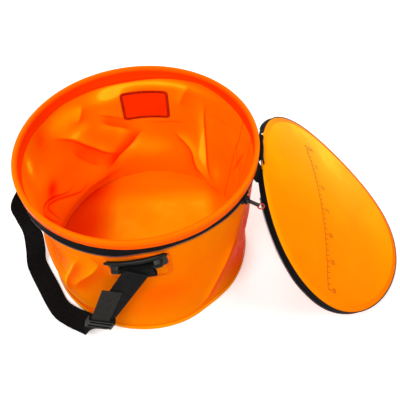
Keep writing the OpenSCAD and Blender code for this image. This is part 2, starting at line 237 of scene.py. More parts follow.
def plastic(name, low, high, rough=(0.28, 0.42), shine=0.2):
    """Moulded or enamelled parts, with a fine grain."""
    s = Shader(name, Specular_IOR_Level=shine)
    s.colour(s.noise(60, 3), between(low, high))
    s.roughness(s.noise(90, 4), *rough)
    s.bump(s.noise(1500, 2), 0.00004, 0.6)
    return s.mat


def steel(name):
    """Drawn spring wire."""
    s = Shader(name, Metallic=1.0)
    s.colour(s.noise(30, 3), between((0.5, 0.5, 0.52), (0.7, 0.7, 0.72)))
    s.roughness(s.noise(120, 4, vector=s.space(scale=(1, 1, 12))), 0.22, 0.38)
    s.bump(s.noise(500, 2), 0.00003, 0.5)
    return s.mat


MAT = {
    "wall": pvc("pvc_wall"),
    "base": pvc("pvc_base"),
    "bead": pvc("pvc_bead", (0.12, 0.2), level=0.004, crease=0.0003),
    "patch": pvc("pvc_patch", crease=0.0002),
    "lid": pvc("pvc_lid", (0.14, 0.22), level=0.003, crease=0.0002),
    "band": pvc("pvc_band", (0.14, 0.22), level=0.004, crease=0.0002),
    "print": printed("ruler_print", (0.46, 0.035, 0.0), (0.58, 0.06, 0.0)),
    "border": cloth("patch_thread", (0.3, 0.012, 0.002), (0.55, 0.03, 0.004), 0.0007, 0.0001),
    "sewn": cloth("orange_thread", (1.0, 0.13, 0.0), (1.0, 0.19, 0.001), 0.0007, 0.0001),
    "tape": cloth("zip_tape_weave", (0.0025, 0.0025, 0.0027), (0.006, 0.006, 0.0065)),
    "webbing": cloth("webbing_weave", (0.0028, 0.0026, 0.0027), (0.0075, 0.0068, 0.0066),
                     0.0016, 0.0003, 0.008),
    "ribbed": cloth("ribbed_webbing", (0.002, 0.002, 0.002), (0.034, 0.032, 0.028), 0.0016, 0.0002,
                    0.01, toned=True),
    "teeth": plastic("zip_teeth_black", (0.012, 0.012, 0.013), (0.024, 0.024, 0.026)),
    "zipmetal": plastic("zip_enamel", (0.008, 0.008, 0.009), (0.02, 0.02, 0.022), shine=0.1),
    "bracket": plastic("bracket_grey", (0.005, 0.006, 0.004), (0.011, 0.012, 0.009), shine=0.12),
    "pin": plastic("pin_black", (0.006, 0.006, 0.006), (0.014, 0.014, 0.013), (0.4, 0.55), 0.1),
    "adjuster": plastic("adjuster_black", (0.006, 0.006, 0.006), (0.013, 0.013, 0.012), shine=0.08),
    "pull": plastic("pull_red", (0.3, 0.008, 0.006), (0.5, 0.02, 0.012), (0.15, 0.3)),
    "steel": steel("spring_steel"),
    "thread": cloth("black_thread", (0.012, 0.012, 0.013), (0.03, 0.03, 0.03), 0.0004, 0.00005),
}


# Mesh helpers
def unit(v):
    """Vectors of length 1 in the same directions."""
    size = np.linalg.norm(v, axis=-1, keepdims=True)
    return v / np.where(size == 0, 1, size)


def smooth(t, low, high):
    """0 below low and 1 above high, with a soft rise between."""
    t = np.clip((np.asarray(t, float) - low) / (high - low), 0, 1)
    return t * t * (3 - 2 * t)


def curve_through(points, steps, tension=0.5):
    """A smooth curve through the points, with this many steps to each span."""
    p = np.concatenate([[2 * points[0] - points[1]], points, [2 * points[-1] - points[-2]]])
    out = []
    for i in range(1, len(p) - 2):
        leave, arrive = (p[i + 1] - p[i - 1]) * tension, (p[i + 2] - p[i]) * tension
        for t in np.arange(steps) / steps:
            square, cube = t ** 2, t ** 3
            out.append((2 * cube - 3 * square + 1) * p[i] + (cube - 2 * square + t) * leave
                       + (3 * square - 2 * cube) * p[i + 1] + (cube - square) * arrive)
    out.append(points[-1])
    return np.array(out)


def arc(centre, radius, start, end, count):
    """Points of an arc; its angles are in degrees."""
    return [(centre[0] + radius * math.cos(a), centre[1] + radius * math.sin(a))
            for a in np.radians(np.linspace(start, end, count))]


def ring(count):
    """Azimuths in degrees, evenly round the circle."""
    return np.linspace(0, 360, count, endpoint=False)


def run_along(points):
    """Running length of a line at each of its points."""
    return np.concatenate([[0], np.cumsum(np.linalg.norm(np.diff(points, axis=0), axis=1))])


def round_reach(past, half, corner):
    """Half width of a plate with round corners, this far past the start of its corners."""
    return half - corner + math.sqrt(max(corner ** 2 - max(0.0, past) ** 2, 0.05))


def lengths(p, axis, wrap):
    """Running length in metres along one axis of a grid of points, for the weave."""
    step = np.diff(p, axis=axis, append=np.take(p, [0], axis)) if wrap else np.diff(p, axis=axis)
    gaps = np.linalg.norm(step, axis=2).mean(axis=1 - axis)
    return np.concatenate([[0], np.cumsum(gaps)]) * MM


class Build:
    """Collects the faces of one piece, in millimetres."""

    def __init__(self):
        self.points, self.faces, self.uvs, self.tones, self.count = [], [], [], [], 0

    def face(self, corners, uvs):
        self.faces.append(corners)
        self.uvs.append(uvs)

    def grid(self, p, wrap_rows=False, wrap_cols=False, caps=False, tone=0.5):
        """Faces between the rows and columns of points; caps close a wrapped grid's ends."""
        rows, cols = p.shape[:2]

        def at(i, j):
            return self.count + (i % rows) * cols + j % cols

        u, v = lengths(p, 1, wrap_cols), lengths(p, 0, wrap_rows)
        for i in range(rows - (not wrap_rows)):
            for j in range(cols - (not wrap_cols)):
                self.face((at(i, j), at(i, j + 1), at(i + 1, j + 1), at(i + 1, j)),
                          ((u[j], v[i]), (u[j + 1], v[i]), (u[j + 1], v[i + 1]), (u[j], v[i + 1])))
        if caps:
            for j in (0, cols - 1):
                for i in range(rows // 2 - 1):
                    self.face((at(i, j), at(i + 1, j), at(rows - 2 - i, j), at(rows - 1 - i, j)),
                              ((0, v[i]), (0, v[i + 1]), (MM, v[i + 1]), (MM, v[i])))
        self.points.append(p.reshape(-1, 3))
        self.tones.append(np.broadcast_to(tone, (rows, cols)).ravel())
        self.count += rows * cols
        return self

    def sheet(self, p, thick, wrap=False, tone=0.5, back=None):
        """A closed sheet of this thickness round p; back is the tone of its other face."""
        n = surface_normals(p, wrap)
        skin = np.concatenate([p + n * thick / 2, (p - n * thick / 2)[::-1]])
        front = np.broadcast_to(tone, p.shape[:2])
        back = front if back is None else np.broadcast_to(back, p.shape[:2])
        return self.grid(skin, True, wrap, not wrap, np.concatenate([front, back[::-1]]))

    def tube(self, path, radius, closed=False, sides=10, flat=1.0, up=(0, 0, 1)):
        """A round bar along a path; an open one gets flat ends."""
        tangent = unit(np.roll(path, -1, 0) - np.roll(path, 1, 0)) if closed else unit(
            np.gradient(path, axis=0))
        side = unit(np.cross(tangent, np.broadcast_to(np.array(up, float), path.shape)))
        top = np.cross(side, tangent)
        turn = np.arange(sides) * TAU / sides
        radius = np.broadcast_to(np.asarray(radius, float), (len(path),))[:, None, None]
        loop = (side[:, None] * np.cos(turn)[None, :, None]
                + top[:, None] * np.sin(turn)[None, :, None] * flat)
        p = (path[:, None] + loop * radius).transpose(1, 0, 2)
        first = self.count
        self.grid(p, True, closed)
        if not closed:
            cols = len(path)
            for j in (0, cols - 1):
                self.face(tuple(first + i * cols + j for i in range(sides)), ((0, 0),) * sides)
        return self

    def block(self, corners):
        """A block from its 4 lower and 4 upper corners."""
        quads = ((3, 2, 1, 0), (4, 5, 6, 7), (0, 1, 5, 4), (1, 2, 6, 5), (2, 3, 7, 6), (3, 0, 4, 7))
        for quad in quads:
            self.face(tuple(self.count + k for k in quad), ((0, 0), (MM, 0), (MM, MM), (0, MM)))
        self.points.append(np.asarray(corners, float))
        self.tones.append(np.full(8, 0.5))
        self.count += 8
        return self

    def piece(self, name, mat, body, slot, replaces=(), flat_shaded=False):
        """The finished object, on its body if it has one."""
        mesh = bpy.data.meshes.new(name)
        points = np.concatenate(self.points) * MM
        mesh.from_pydata([tuple(map(float, p)) for p in points], [], self.faces)
        layer = mesh.uv_layers.new(name="weave")
        layer.data.foreach_set("uv", [c for face in self.uvs for uv in face for c in uv])
        work = bmesh.new()
        work.from_mesh(mesh)
        bmesh.ops.recalc_face_normals(work, faces=work.faces)
        work.to_mesh(mesh)
        work.free()
        tones = mesh.attributes.new("tone", "FLOAT", "POINT")
        tones.data.foreach_set("value", np.clip(np.concatenate(self.tones), 0.02, 0.98))
        mesh.materials.append(MAT[mat])
        mesh.polygons.foreach_set("use_smooth", [not flat_shaded] * len(mesh.polygons))
        obj = add_object(name, mesh)
        if body:
            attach(obj, body)
        if replaces:
            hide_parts(*replaces)
        if not flat_shaded:
            sharpen(mesh)
        return obj


SHARP = math.radians(50)


def sharpen(mesh):
    """Marks the sharp edges, so that sheet edges stay crisp beside smooth faces."""
    work = bmesh.new()
    work.from_mesh(mesh)
    for edge in work.edges:
        edge.smooth = len(edge.link_faces) == 2 and edge.calc_face_angle(0) < SHARP
    work.to_mesh(mesh)
    work.free()


def surface_normals(p, wrap=False):
    """The direction out of a grid of points at each of them."""
    if wrap:
        cols = np.roll(p, -1, 1) - np.roll(p, 1, 1)
    else:
        cols = np.gradient(p, axis=1)
    return unit(np.cross(cols, np.gradient(p, axis=0)))


def polar(radius, angle, z):
    """Points from radii in mm, azimuths in degrees and heights in mm."""
    a = np.radians(angle)
    radius, a, z = np.broadcast_arrays(radius, a, z)
    return np.stack([radius * np.cos(a), radius * np.sin(a), z], axis=-1)


def ripple(x, y, z, scale):
    return noise.noise(Vector((x * scale, y * scale, z * scale)))


def ring_ripple(az, scale, level):
    """A value that wanders about 0 with the azimuth in degrees and closes round the ring."""
    return np.array([ripple(math.cos(a) * scale, math.sin(a) * scale, level, 1.0)
                     for a in np.radians(az)])


def plateau(t, rise, fall):
    """1 on a plateau that rises over one range of t and falls over another."""
    return smooth(t, *rise) * (1 - smooth(t, *fall))


def turned(az, centre):
    """Degrees from centre to az, between -180 and 180."""
    return (az - centre + 180) % 360 - 180


# Wall and its folds
WALL_THICK = 1.3
RIM_FREE, FOOT_FREE = (232, 262), (16, 44)  # heights over which the folds fade out
ZIP_FREE = (185, 222)  # heights over which the lower limit comes in
STAND_OUT, STAND_LOW = 7.0, 0.45  # the most it stands out, and the same behind the slider
BESIDE_OUT = 0.6  # the same behind the brackets
SAG_IN = -24  # the most it sags in
BLUNT = 0.03  # how blunt a fold's ridge is; 0 would be a knife edge
LINE_WIDE = 2.4  # half width of the toned line along a fold
PATCH_OUT, PATCH_IN = (190, 256), (172, 244)  # lower and upper edges of the patches
BRACKET_FREE = (16, 30)  # degrees beside a bracket over which the folds come back
LEANS = ((-7, 265), (-4, 170))  # lean of the foot along x and y, and the height it starts at
SWELLS = ((-155, 17, 2), (-55, 14, -5))  # at the foot: azimuth, half width, mm outwards
WALL_TONE = 0.67  # plain PVC between the reddest, 0, and the yellowest, 1
HIDDEN = 0.75  # share of the tones, the painted light and shade, that a face loses where the camera does not see it
SEAM_WIDE = 13  # degrees of overlap of the sheet's ends
# The overlap's inner end: its azimuth at these heights
SEAM_HEIGHTS, SEAM_AZ = [4, 60, 140, 196, 236, 266], [33, 31, 27, 23, 21, 19]
# Folds of the wall sheet, placed after the photograph: points (azimuth, height), depth in mm (+ is
# outwards), width to the left and right of that direction, and then the change in tone of its line,
# its left and its right side; these tones paint shade (-) and highlight (+) along the crease, and
# light (+) and shade (-) on its sides
FOLDS = [
    # left inside wall, which sags in over the bottom
    ([(92, 144), (98, 126), (103, 106), (109, 88), (115, 74), (120, 63), (126, 53)],
     -8, 45, 7, -0.25, -0.5, 0.15),
    ([(155, 222), (150, 215), (145, 202), (139, 182), (132, 149), (126, 124), (120, 102),
      (113, 85), (108, 77)], -4, 10, 24, -0.45, -0.12, 0.2),
    ([(142, 170), (140, 140), (136, 114), (130, 86), (123, 66)], -3, 10, 14, -0.12, 0.05, -0.12),
    ([(122, 219), (116, 202), (108, 183), (101, 170), (95, 161)], -3, 14, 14, -0.2, 0, 0.08),
    ([(120, 195), (114, 171), (106, 152), (100, 137)], -1, 10, 10, -0.1, 0.18, -0.2),
    ([(127, 253), (129, 235), (133, 211)], -2, 10, 10, 0, 0.15, -0.12),
    ([(146, 96), (151, 80), (159, 85), (175, 128), (183, 141), (184, 121), (172, 27)],
     -2, 6, 8, -0.5, 0, 0),
    ([(138, 75), (141, 59), (148, 54), (160, 77), (171, 103), (175, 106), (174, 79), (172, 39)],
     2, 6, 8, -0.5, 0, 0),
    # right inside wall
    ([(92, 162), (83, 158), (75, 163), (66, 166), (63, 165)], -2, 8, 8, -0.15, 0, 0),
    ([(75, 149), (72, 124), (67, 109), (62, 87), (60, 51), (56, 27), (48, 4)],
     -4, 18, 7, -0.5, -0.1, 0.22),
    ([(52, 257), (52, 199), (51, 152), (50, 113), (49, 65), (47, 29), (40, 5)],
     -3.5, 12, 10, -0.5, 0.25, 0),
    ([(61, 270), (66, 241), (70, 204)], -1.5, 12, 12, -0.05, 0.12, -0.1),
    ([(12, 215), (19, 160), (26, 106)], -1, 8, 8, -0.25, 0, 0),
    # front left, outside
    ([(-116, 236), (-122, 200), (-127, 164), (-134, 116), (-139, 70), (-141, 34), (-137, 29)],
     5, 14, 22, 0.3, -0.25, 0.12),
    ([(-115, 245), (-110, 226), (-109, 217), (-113, 190), (-123, 141), (-133, 82)],
     3, 10, 12, 0.12, -0.22, 0.15),
    ([(-160, 16), (-145, 16), (-130, 26), (-118, 34), (-108, 30)], -3, 10, 10, -0.15, 0.1, -0.2),
    # front right, the long diagonal fold seen outside
    ([(-30, 187), (-41, 162), (-48, 117), (-55, 72), (-61, 27), (-64, 5)],
     5, 40, 7, 0.15, -0.3, 0.05),
    ([(-27, 191), (-22, 89), (-30, 51)], -1, 12, 12, -0.2, 0, 0),
    # back outside and far left, not seen in the photograph
    ([(28, 232), (8, 60)], -3.5, 22, 12, -0.1, 0.05, -0.05),
    ([(205, 210), (224, 70)], -4.0, 20, 14, -0.1, 0.05, -0.05),
]
# Broad bulges: (azimuth, height), half widths and depth in mm
BULGES = [((158, 48), (92, 34), -17.0), ((128, 40), (48, 34), -9.0), ((-30, 70), (70, 60), -5.0),
          ((-152, 180), (60, 55), -13.0), ((60, 140), (60, 70), 3.0), ((200, 120), (70, 70), 3.5)]
# Pools of painted light and painted shade, yellower and redder: (azimuth, height), half widths in mm,
# change in tone
LIGHT_SHADE_AREAS = [((177, 237), (14, 26), 0.35), ((143, 242), (40, 26), 0.25), ((110, 246), (36, 16), 0.4),
         ((85, 262), (110, 10), 0.3), ((133, 192), (26, 16), 0.2), ((160, 250), (18, 30), -0.2),
         ((91, 88), (60, 36), 0.22), ((54, 105), (9, 40), 0.3), ((42, 50), (12, 30), 0.15),
         ((130, 130), (50, 40), -0.12), ((166, 126), (17, 20), -0.5), ((-178, 120), (45, 40), -0.15),
         ((-83, 142), (50, 40), -0.1), ((-88, 30), (120, 22), 0.08), ((-22, 90), (62, 90), -0.38),
         ((-85, 100), (190, 120), -0.08), ((172, 170), (60, 50), 0.14), ((-140, 185), (46, 60), -0.2)]


def along_fold(points, az, z):
    """Run along a fold, 0 to 1, and the distance to its left (+) or right (-) in mm."""
    start = points[0][0]
    x = turned(az, start) * ARC
    line = np.array([((a - start) * ARC, height) for a, height in points], float)
    line = curve_through(line, 4) if len(line) > 2 else line
    marks = run_along(line)
    best, off, run = np.full(x.shape, np.inf), np.zeros(x.shape), np.zeros(x.shape)
    for i, (a, b) in enumerate(zip(line, line[1:])):
        d, size = b - a, marks[i + 1] - marks[i]
        dx, dz = x - a[0], z - a[1]
        share = np.clip((dx * d[0] + dz * d[1]) / size ** 2, 0, 1)
        gap = np.hypot(dx - share * d[0], dz - share * d[1])
        near = gap < best
        best = np.where(near, gap, best)
        off = np.where(near, gap * np.sign(d[0] * dz - d[1] * dx), off)
        run = np.where(near, (marks[i] + share * size) / marks[-1], run)
    return run, off


def wall_lean(az, z):
    """How the whole wall leans and swells towards its foot, in mm."""
    a = np.radians(az)
    out = sum(lean * share * np.maximum(0, 1 - z / top)
              for share, (lean, top) in zip((np.cos(a), np.sin(a)), LEANS))
    low = np.exp(-((z - 15) / 55) ** 2)
    for centre, half, swell in SWELLS:
        out = out + swell * low * np.exp(-(turned(az, centre) / half) ** 2)
    return out


def spot(az, z, at, half):
    """1 at a place of the wall, fading over these half widths in mm."""
    return np.exp(-(turned(az, at[0]) * ARC / half[0]) ** 2 - ((z - at[1]) / half[1]) ** 2)


def wall_shape(az, z):
    """How far the wall sheet stands out from its cylinder, in mm, and its tone, which paints light
    and shade on it.
    """
    az, z = np.broadcast_arrays(np.asarray(az, float), np.asarray(z, float))
    out, tone = np.zeros(az.shape), np.full(az.shape, WALL_TONE)
    for points, depth, left, right, line, shade_left, shade_right in FOLDS:
        run, off = along_fold(points, az, z)
        ends = smooth(run, 0, 0.3) * smooth(1 - run, 0, 0.3)
        width = np.where(off > 0, left, right)
        out += depth * ends * np.exp(-np.sqrt((off / width) ** 2 + BLUNT) + math.sqrt(BLUNT))
        # Painted shade and highlight along the fold's line, and painted light and shade on its two
        # sides
        side = smooth(off, -1.5, 1.5)
        shade = shade_left * side + shade_right * (1 - side)
        tone += ends * (line * np.exp(-(off / LINE_WIDE) ** 2) + shade * np.exp(-(off / 20) ** 2))
    for at, half, depth in BULGES:
        out += depth * spot(az, z, at, half)
    # Pools of painted light and painted shade
    for at, half, shade in LIGHT_SHADE_AREAS:
        tone += shade * spot(az, z, at, half)
    for scale, pitch, level, height in ((3, 90, 0, 3.2), (9, 30, 500, 1.0)):
        wave = np.vectorize(lambda a, h: ripple(math.cos(a) * scale, math.sin(a) * scale, h, 1.0))
        out += height * wave(np.radians(az), (z + level) / pitch)
    keep = (1 - smooth(z, *RIM_FREE)) * smooth(z, *FOOT_FREE)
    most = STAND_LOW + (STAND_OUT - STAND_LOW) * (1 - smooth(z, *ZIP_FREE))
    for centre in (-90, 90):
        beside = smooth(np.abs(turned(az, centre)), *BRACKET_FREE)
        most = np.minimum(most, BESIDE_OUT + (STAND_OUT - BESIDE_OUT) * beside)
        below = 0.45 * smooth(PATCH_IN[0] - z, 0, 60)
        keep = keep * np.maximum(beside, below)
    return np.clip(out * keep, SAG_IN, most) + wall_lean(az, z), tone


def make_wall():
    az = ring(570)[None, :]
    z = np.linspace(3, WALL_TOP, 156)[:, None]
    out, tone = wall_shape(az, z)
    # A face carries most of its tones, the painted light and shade, only where the camera sees that
    # face
    front = smooth(-np.sin(np.radians(az)), -0.1, 0.35)
    outer = WALL_TONE + (tone - WALL_TONE) * (1 - HIDDEN + HIDDEN * front)
    inner = WALL_TONE + (tone - WALL_TONE) * (1 - HIDDEN * front)
    skin = polar(WALL_R + out, az, z)
    obj = Build().sheet(skin, WALL_THICK, wrap=True, tone=outer, back=inner).piece(
        "wall_sheet", "wall", "bucket", "wall_pvc", ("wall",))
    squash_wall(obj)


def make_seam():
    """The sheet's ends overlap inside; the inner end's edge shows as one line."""
    z = np.linspace(4, 268, 100)[:, None]
    edge = np.interp(z, SEAM_HEIGHTS, SEAM_AZ)
    az = edge - np.linspace(SEAM_WIDE, 0, 40)[None, :]
    out, tone = wall_shape(az, z)
    tone = tone - 0.3 * np.exp(-((edge - az) * ARC / 2.5) ** 2)
    squash_wall(Build().sheet(polar(WALL_R + out - 1.2, az, z), 0.9, tone=tone).piece(
        "wall_seam", "wall", "bucket", "wall_pvc"))


def squash_wall(obj):
    """Gives a piece of the wall, or one sewn to it, a mesh of its own."""
    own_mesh(obj)


# Rim: its section as (radius, height), from the inner flap's foot over the bead and back
BEAD_AT, BEAD_R = (202.8, 295.8), 4.2
INNER_FLAP = [(197.85, 273), (197.6, 276), (197.55, 277.4), (197.85, 278.2), (197.85, 286),
              (197.95, 292), (198.3, 295)]
OUTER_FLAP = [(206.8, 293), (206.8, 289.2), (206.5, 288.6), (206.8, 288), (206.8, 284),
              (206.3, 283.6), (205.4, 284), (205.4, 290), (203.6, 291.6), (200.4, 291.9),
              (199.25, 290), (199.25, 276), (199.0, 273), (198.4, 272.7)]
# How far the inner flap's lower edge wanders up at these azimuths
EDGE_AZ = [0, 16, 36, 54, 70, 97, 114, 140, 152, 165, 200, 360]
EDGE_RISE = [0, -3, 3, 9, 5, -3, -2, 2, -1, 2, 0, 0]
INNER_TONE, OUTER_TONE = 0.24, 0.42
INSIDE_R, OUTSIDE_R = 200, 205  # the flaps lie inside and outside these radii
FLAP_TOP, BEAD_FOOT = 291, 292  # where the inner flap and the outer flap start down


def make_rim():
    """The sleeve over the rim: an inner flap, a round bead and an outer flap over the zip."""
    turn = ring(480)
    flare, pucker = ring_ripple(turn, 4, 0.3), ring_ripple(turn, 26, 7.3)
    beside_fold = 1 - np.exp(-(turned(turn, FOLD_AZ) / 14) ** 2)
    far_highlight = np.exp(-(turned(turn, 105) / 62) ** 2)
    droop = 1.5 * np.exp(-(turned(turn, -62) / 20) ** 2)
    edge = np.interp(turn, EDGE_AZ, EDGE_RISE)
    rows, tones = [], []
    for r, z in INNER_FLAP + arc(BEAD_AT, BEAD_R, 160, -8, 15) + OUTER_FLAP:
        inside, outside = r < INSIDE_R, r > OUTSIDE_R
        inner = smooth(FLAP_TOP - z, 0, 18) if inside else 0
        outer = smooth(BEAD_FOOT - z, 0, 8) if outside else 0
        dr = -inner * (0.35 + 0.9 * np.maximum(flare, 0) + 0.25 * np.abs(pucker))
        dr = dr + outer * beside_fold * (0.1 + 0.8 * np.maximum(flare, 0) + 0.2 * pucker)
        dz = inner * (0.8 * flare + edge) - outer * (droop + 0.5 * flare * beside_fold)
        top = 0.09 * pucker * (z > 293)
        rows.append(polar(r + dr + top, turn, z + dz))
        # Painted highlight: the bead is lighter towards its outside, most of all on the far side
        bead_tone = 0.48 + 0.08 * smooth(r, 202, 205) + 0.36 * far_highlight * smooth(r, 203, 206)
        tones.append(INNER_TONE if inside and z < 293 else OUTER_TONE if z < BEAD_FOOT else bead_tone)
    tone = np.array([np.broadcast_to(value, turn.shape) for value in tones])
    Build().grid(np.array(rows), True, True, tone=tone).piece(
        "rim_binding", "bead", "bucket", "rim_pvc", ("rim_sleeve",))


# Zip
ZIP_TEETH, ZIP_START, ZIP_SWEEP = 434, -32.6, 307.0  # teeth on the bucket, over these degrees
TAPE_HEIGHTS, FLARE_FROM = (270, 270.6, 273, 276, 280, 284, 290), 284
# Where the tape's lower edge hangs loose and where it is tucked in: azimuths it starts and ends
LOOSE_AZ, LOOSE_OUT = ((-156, -138), (-100, -84)), 3.0
TUCKED_AZ, TUCKED_IN = ((-82, -70), (-56, -45)), 1.6
STITCH_SHARE = 0.62  # of the way from stitch to stitch
STITCH_LIFT = np.array([-0.35, 0.12, 0.12, -0.35])  # both ends go into the cloth
NUDGE = 1e-4  # keeps a direction from lying exactly along another
TOOTH, LID_TOOTH = (1.6, 2.9, 4.3), (1.6, 2.8, 4.2)  # length along the tape, depth, height


def tooth(build, centre, along, out, up, size):
    """One moulded tooth: a block with a slimmer head."""
    length, thick, height = size
    corners = []
    for share, side in ((1.0, -1), (0.62, 1)):
        for a, b in ((-1, -1), (1, -1), (1, 1), (-1, 1)):
            corners.append(centre + along * a * length * share / 2
                           + out * b * thick * (0.75 + share / 4) / 2 + up * side * height / 2)
    build.block(corners)


def tape_hang(az):
    """How far the tape's lower edge stands out and hangs down, in mm."""
    loose = LOOSE_OUT * plateau(az, *LOOSE_AZ)
    return loose - TUCKED_IN * plateau(az, *TUCKED_AZ), loose


def make_bucket_zip():
    az = np.linspace(-180, 180, 420, endpoint=False)[None, :]
    z = np.array(TAPE_HEIGHTS)[:, None]
    wave = ring_ripple(az[0], 7, 2.1)[None, :]
    low = np.clip((FLARE_FROM - z) / (FLARE_FROM - TAPE_HEIGHTS[0]), 0, 1)
    out, down = tape_hang(az)
    r = TAPE_R + (0.25 * wave + out) * low
    Build().sheet(polar(r, az, z - down * low), 1.25, wrap=True).piece(
        "bucket_zip_cloth", "tape", "bucket", "zip_tape", ("bucket_zip_tape",))
    row = Build()
    for k in range(ZIP_TEETH):
        az = ZIP_START - k * (ZIP_SWEEP / ZIP_TEETH)
        side, down = tape_hang(float(turned(az, 0)))
        out = polar(1, az, 0)
        along = polar(1, az + 90, 0)
        tooth(row, out * (TAPE_R + side) + np.array([0, 0, TAPE_Z - down]), along, out,
              np.array([0, 0, -1.0]), TOOTH)
    row.piece("bucket_teeth", "teeth", "bucket", "zip_teeth", ("bucket_zip_teeth",), True)
    ring_stitches("bucket_zip_stitching", 205.35, 281.5, 300)


def ring_stitches(name, r, z, count):
    """Short raised stitches round the bucket."""
    row = Build()
    for k in range(count):
        az = (np.linspace(-STITCH_SHARE / 2, STITCH_SHARE / 2, 4) + k + 0.5) / count * 360
        row.tube(polar(r + STITCH_LIFT, az, z), 0.32, sides=5, up=polar(1, az[1], 0) + NUDGE)
    row.piece(name, "thread", "bucket", "zip_tape")


# Bottom, and the section of the welt round it as (radius, height)
BOTTOM_TOP, BOTTOM_RISE = 1.35, 1.5  # height at its edge, and its rise inside
WELT = [(201.4, 0.2), (202.6, 0), (203.5, 0.7), (203.55, 4.5), (203.2, 5.2), (203.5, 6),
        (203.3, 9.2), (202.4, 10), (201.4, 9.8)]


def bottom_top(r, a):
    """Height of the bottom's upper face, which lies a little uneven inside its edge."""
    x, y = r * math.cos(a), r * math.sin(a)
    bump = 1.9 * ripple(x, y, 0, 0.014) + 0.8 * ripple(x, y, 4, 0.035)
    edge = float(smooth(ROUND_R - r, 0, 26))
    return BOTTOM_TOP + max(0.0, BOTTOM_RISE + bump) * edge


def make_bottom():
    radii = np.concatenate([np.linspace(CENTRE, 190, 60), np.linspace(192, BOTTOM_R, 8)])
    az = np.linspace(0, TAU, 240, endpoint=False)
    stretch = 1 + wall_lean(np.degrees(az), 5.0) / ROUND_R
    upper = np.array([[(r * share * math.cos(a), r * share * math.sin(a), bottom_top(r, a))
                       for a, share in zip(az, stretch)] for r in radii])
    lower = upper[::-1].copy()
    lower[..., 2] = np.maximum(lower[..., 2] - WALL_THICK, 0.0)
    skin = np.concatenate([upper, lower])
    x, y = skin[..., 0], skin[..., 1]
    # Painted light and shade: yellowest at the front, where most light falls, and redder to the left,
    # behind and at the far right, where the walls shade it
    tone = 0.91 + 0.1 * smooth(-y, 20, 120) - 0.46 * smooth(-x, 80, 150)
    tone = tone - 0.2 * smooth(y, 90, 150) - 0.25 * smooth(x, 110, 150) * smooth(y, 30, 70)
    obj = Build().grid(skin, True, True, tone=tone).piece(
        "bottom_disc", "base", "bottom", "wall_pvc", ("bottom_sheet",))


def make_welt():
    """The welded hem round the bottom."""
    turn = ring(420)
    wave = ring_ripple(turn, 9, 5.1)
    rows = [polar(r + 0.25 * wave * (r > 203) + wall_lean(turn, z), turn,
                  z + 0.7 * wave * (z > 8)) for r, z in WELT]
    Build().grid(np.array(rows), True, True, tone=0.8).piece(
        "bottom_welt", "bead", "bottom", "rim_pvc", ("bottom_hem",))


# Patches
PATCH_HALF, PATCH_CORNER, PATCH_THICK = 50.5, 8, 1.0
PATCH_OFF = 1.5  # from the middle of the wall sheet to the middle of a patch
BORDER_IN, BORDER_PITCH = 3.2, 2.1  # how far in from the edge, and from stitch to stitch
# One stitch of the border: its points across the border and along it, and their lift
CROSS_STITCH = ((-2.7, -0.5, 0.25), (-1.4, -0.2, 0.75), (1.4, 0.2, 0.75), (2.7, 0.5, 0.25))


def round_box(half_w, half_h, corner):
    """A closed line round a box with round corners, about its middle."""
    line = []
    for x, y, start in ((1, 1, 0), (-1, 1, 90), (-1, -1, 180), (1, -1, 270)):
        line += arc((x * (half_w - corner), y * (half_h - corner)), corner, start, start + 90, 7)
    return np.array(line + line[:1])


def make_patch(name, node, centre, heights, side):
    """A patch with round corners on the wall, outside (1) or inside (-1), and its border."""
    half_h, mid = (heights[1] - heights[0]) / 2, (heights[0] + heights[1]) / 2
    outside = side > 0

    def place(x, y, lift=0.0):
        return polar(WALL_R + (PATCH_OFF + lift) * side, centre - side * x / ARC, mid + y)

    rows = []
    for y in np.linspace(-half_h, half_h, 33):
        reach = round_reach(abs(y) - (half_h - PATCH_CORNER), PATCH_HALF, PATCH_CORNER)
        rows.append(place(np.linspace(-reach, reach, 41), y))
    squash_wall(Build().sheet(np.array(rows), PATCH_THICK, tone=0.64 if outside else 0.2).piece(
        name, "patch", "bucket", "patch_pvc", (node,)))
    squash_wall(patch_border(place, half_h).piece(
        name + "_border", "sewn" if outside else "border", "bucket", "patch_pvc"))


def patch_border(place, half_h):
    """The border of a patch, a run of close cross stitches; place puts a point on the patch."""
    line = round_box(PATCH_HALF - BORDER_IN, half_h - BORDER_IN, PATCH_CORNER - BORDER_IN / 2)
    marks = run_along(line)
    total = marks[-1]
    count = int(total / BORDER_PITCH)
    row = Build()
    for k in range(count):
        run = (k + 0.5) / count * total
        at, ahead = (np.array([np.interp(s, marks, line[:, i]) for i in (0, 1)])
                     for s in (run, (run + 0.5) % total))
        along = unit(ahead - at)
        across = np.array([along[1], -along[0]])
        path = np.array([place(*(at + across * a + along * b), PATCH_THICK / 2 + lift)
                         for a, b, lift in CROSS_STITCH])
        out = unit(path[1] * np.array([1, 1, 0]))
        row.tube(path, 0.85, sides=6, flat=0.6, up=out + NUDGE)
    return row


def make_patches():
    for place, centre in (("front", -90), ("back", 90)):
        make_patch(place + "_patch_out", place + "_outer_patch", centre, PATCH_OUT, 1)
        make_patch(place + "_patch_in", place + "_inner_patch", centre, PATCH_IN, -1)


# Lid, in its own frame: u away from the fold, v along it, w out of the inner face
LID_C = 211.04  # from the fold to the middle of the lid
CAD_LEAN = math.radians(41.0988)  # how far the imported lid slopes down
LEAN, ROLL = 0.77, 0.0311  # slope and roll of the photographed lid, in radians
LID_W, LID_TAPE = -10.0, 12.0  # the inner face beside the fold line, and the tape's width
LID_HALF = 200  # its radius
SIDES_DROOP, SIDES_CURL, FAR_RISE = 32.1, 8.04, 15.78  # its sag, in mm at its edge
LID_TEETH, LID_SWEEP = 445, 314
# The band round the lid as (radius, height over the inner face beside the fold)
LID_BAND = [(189, 0), (190.6, 0.3), (191.8, -0.1), (193.2, 0), (195, 0.1), (197.5, 0.1),
            (199.3, -0.6), (200.05, -2), (199.4, -3.5), (197.5, -4.2), (194, -4.1), (192, -3),
            (190, -2.3), (189, -1.9)]
PROUD_AZ, PROUD = ((98, 120), (148, 162)), 5.0  # where its zip tape stands out, and how far


